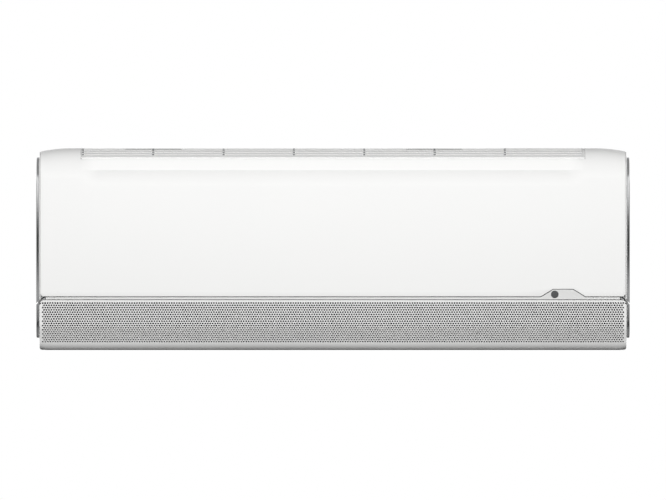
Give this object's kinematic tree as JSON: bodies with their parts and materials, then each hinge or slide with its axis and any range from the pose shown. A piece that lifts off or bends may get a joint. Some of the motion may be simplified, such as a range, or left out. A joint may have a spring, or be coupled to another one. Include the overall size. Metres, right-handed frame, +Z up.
{
  "type": "mini split indoor unit",
  "caption": "Wall mounted air conditioner unit with hinged front panel, perforated outlet panel, top inlet grille and bright end rings, on its wall plate.",
  "frame": {"origin": "centre of the wall bolt rectangle, on the wall plane behind the mounting plate", "axes": "+X along the unit to its right end seen from the front, +Y into the wall, +Z up"},
  "size_m": [0.94, 0.2001, 0.32],
  "materials": {
    "white_panel": "glossy moulded ABS",
    "white_casing": "fine-grained moulded ABS",
    "bright_trim": "plated trim",
    "frame_plastic": "moulded styrene",
    "galvanised_steel": "zinc coated sheet",
    "fin_aluminium": "stamped fins",
    "copper": "drawn copper tube",
    "nut_brass": "turned brass",
    "foam": "closed cell foam",
    "black_rubber": "moulded rubber",
    "motor_shell": "pressed steel",
    "small_motor": "nickel plated can",
    "board": "glass fibre board",
    "terminal": "phenolic",
    "display_tint": "tinted acrylic",
    "lens_dark": "smoked acrylic",
    "fan_plastic": "glass filled plastic",
    "vane_plastic": "moulded plastic",
    "filter_net": "nylon net"
  },
  "bodies": {
    "root": {"mounting_plate": "galvanised_steel", "chassis": "frame_plastic", "front_casing": "white_casing", "end_cap_left": "white_casing", "end_cap_right": "white_casing", "trim_ring_left": "bright_trim", "trim_ring_right": "bright_trim", "evaporator_fins": "fin_aluminium", "evaporator_tubes": "copper", "evaporator_end_plates": "galvanised_steel", "suction_pipe": "copper", "liquid_pipe": "copper", "pipe_insulation": "foam", "flare_nuts": "nut_brass", "drain_pan": "frame_plastic", "drain_plug": "black_rubber", "fan_motor": "motor_shell", "motor_mounts": "black_rubber", "motor_cover": "galvanised_steel", "fan_bearing": "black_rubber", "control_box": "frame_plastic", "control_box_cover": "galvanised_steel", "circuit_board": "board", "terminal_block": "terminal", "cable_clamp": "terminal", "display_strip": "display_tint", "receiver_lens": "lens_dark", "display_board": "board", "casing_screws": "galvanised_steel", "screw_caps": "white_casing", "deflector_motor_left": "small_motor", "deflector_motor_right": "small_motor", "louver_motor": "small_motor", "vane_motor_left": "small_motor", "vane_motor_right": "small_motor"},
    "panel": {"front_panel": "white_panel"},
    "deflector": {"deflector_panel": "white_panel", "deflector_frame": "frame_plastic", "deflector_trims": "bright_trim"},
    "louver": {"inner_louver": "vane_plastic"},
    "fan": {"fan_rotor": "fan_plastic", "fan_shaft": "motor_shell"},
    "filter_left": {"filter_frame_left": "white_casing", "filter_mesh_left": "filter_net"},
    "filter_right": {"filter_frame_right": "white_casing", "filter_mesh_right": "filter_net"},
    "button": {"manual_button": "white_casing"},
    "vane_left_1": {"vane_left_1": "vane_plastic"},
    "vane_left_2": {"vane_left_2": "vane_plastic"},
    "vane_left_3": {"vane_left_3": "vane_plastic"},
    "vane_left_4": {"vane_left_4": "vane_plastic"},
    "vane_left_5": {"vane_left_5": "vane_plastic"},
    "link_left": {"link_rod_left": "vane_plastic"},
    "vane_right_1": {"vane_right_1": "vane_plastic"},
    "vane_right_2": {"vane_right_2": "vane_plastic"},
    "vane_right_3": {"vane_right_3": "vane_plastic"},
    "vane_right_4": {"vane_right_4": "vane_plastic"},
    "vane_right_5": {"vane_right_5": "vane_plastic"},
    "link_right": {"link_rod_right": "vane_plastic"}
  },
  "joints": [
    {"name": "panel_hinge", "type": "hinge", "parent": "root", "child": "panel", "pos_m": [0, -0.136, 0.1535], "axis": [-1, 0, 0], "range_deg": [0, 60]},
    {"name": "deflector_pivot", "type": "hinge", "parent": "root", "child": "deflector", "pos_m": [0, -0.124, -0.137], "axis": [1, 0, 0], "range_deg": [0, 70]},
    {"name": "louver_pivot", "type": "hinge", "parent": "root", "child": "louver", "pos_m": [0, -0.16093, -0.12339], "axis": [1, 0, 0], "range_deg": [0, 80]},
    {"name": "fan_spin", "type": "hinge", "parent": "root", "child": "fan", "pos_m": [0, -0.098, -0.035], "axis": [1, 0, 0], "continuous": true},
    {"name": "filter_left_slide", "type": "slide", "parent": "root", "child": "filter_left", "axis": [0, 0, 1], "range_m": [0, 0.05]},
    {"name": "filter_right_slide", "type": "slide", "parent": "root", "child": "filter_right", "axis": [0, 0, 1], "range_m": [0, 0.05]},
    {"name": "vane_left_1_pivot", "type": "hinge", "parent": "root", "child": "vane_left_1", "pos_m": [-0.36, -0.14113, -0.07813], "axis": [0, -0.7071, 0.7071], "range_deg": [-35, 35]},
    {"name": "vane_left_2_pivot", "type": "hinge", "parent": "root", "child": "vane_left_2", "pos_m": [-0.29, -0.14113, -0.07813], "axis": [0, -0.7071, 0.7071], "range_deg": [-35, 35]},
    {"name": "vane_left_3_pivot", "type": "hinge", "parent": "root", "child": "vane_left_3", "pos_m": [-0.22, -0.14113, -0.07813], "axis": [0, -0.7071, 0.7071], "range_deg": [-35, 35]},
    {"name": "vane_left_4_pivot", "type": "hinge", "parent": "root", "child": "vane_left_4", "pos_m": [-0.15, -0.14113, -0.07813], "axis": [0, -0.7071, 0.7071], "range_deg": [-35, 35]},
    {"name": "vane_left_5_pivot", "type": "hinge", "parent": "root", "child": "vane_left_5", "pos_m": [-0.08, -0.14113, -0.07813], "axis": [0, -0.7071, 0.7071], "range_deg": [-35, 35]},
    {"name": "link_left_pivot", "type": "hinge", "parent": "vane_left_1", "child": "link_left", "pos_m": [-0.36, -0.15386, -0.09086], "axis": [0, -0.7071, 0.7071], "range_deg": [-35, 35]},
    {"name": "vane_right_1_pivot", "type": "hinge", "parent": "root", "child": "vane_right_1", "pos_m": [-0.012, -0.14113, -0.07813], "axis": [0, -0.7071, 0.7071], "range_deg": [-35, 35]},
    {"name": "vane_right_2_pivot", "type": "hinge", "parent": "root", "child": "vane_right_2", "pos_m": [0.058, -0.14113, -0.07813], "axis": [0, -0.7071, 0.7071], "range_deg": [-35, 35]},
    {"name": "vane_right_3_pivot", "type": "hinge", "parent": "root", "child": "vane_right_3", "pos_m": [0.128, -0.14113, -0.07813], "axis": [0, -0.7071, 0.7071], "range_deg": [-35, 35]},
    {"name": "vane_right_4_pivot", "type": "hinge", "parent": "root", "child": "vane_right_4", "pos_m": [0.198, -0.14113, -0.07813], "axis": [0, -0.7071, 0.7071], "range_deg": [-35, 35]},
    {"name": "vane_right_5_pivot", "type": "hinge", "parent": "root", "child": "vane_right_5", "pos_m": [0.268, -0.14113, -0.07813], "axis": [0, -0.7071, 0.7071], "range_deg": [-35, 35]},
    {"name": "link_right_pivot", "type": "hinge", "parent": "vane_right_1", "child": "link_right", "pos_m": [-0.012, -0.15386, -0.09086], "axis": [0, -0.7071, 0.7071], "range_deg": [-35, 35]},
    {"name": "button_press", "type": "slide", "parent": "root", "child": "button", "axis": [0, 1, 0], "range_m": [0, 0.001], "stiffness_N_per_m": 200}
  ],
  "couplings": [
    {"joint": "vane_left_2_pivot", "follows": "vane_left_1_pivot", "ratio": 1},
    {"joint": "vane_left_3_pivot", "follows": "vane_left_1_pivot", "ratio": 1},
    {"joint": "vane_left_4_pivot", "follows": "vane_left_1_pivot", "ratio": 1},
    {"joint": "vane_left_5_pivot", "follows": "vane_left_1_pivot", "ratio": 1},
    {"joint": "link_left_pivot", "follows": "vane_left_1_pivot", "ratio": -1},
    {"joint": "vane_right_2_pivot", "follows": "vane_right_1_pivot", "ratio": 1},
    {"joint": "vane_right_3_pivot", "follows": "vane_right_1_pivot", "ratio": 1},
    {"joint": "vane_right_4_pivot", "follows": "vane_right_1_pivot", "ratio": 1},
    {"joint": "vane_right_5_pivot", "follows": "vane_right_1_pivot", "ratio": 1},
    {"joint": "link_right_pivot", "follows": "vane_right_1_pivot", "ratio": -1}
  ]
}
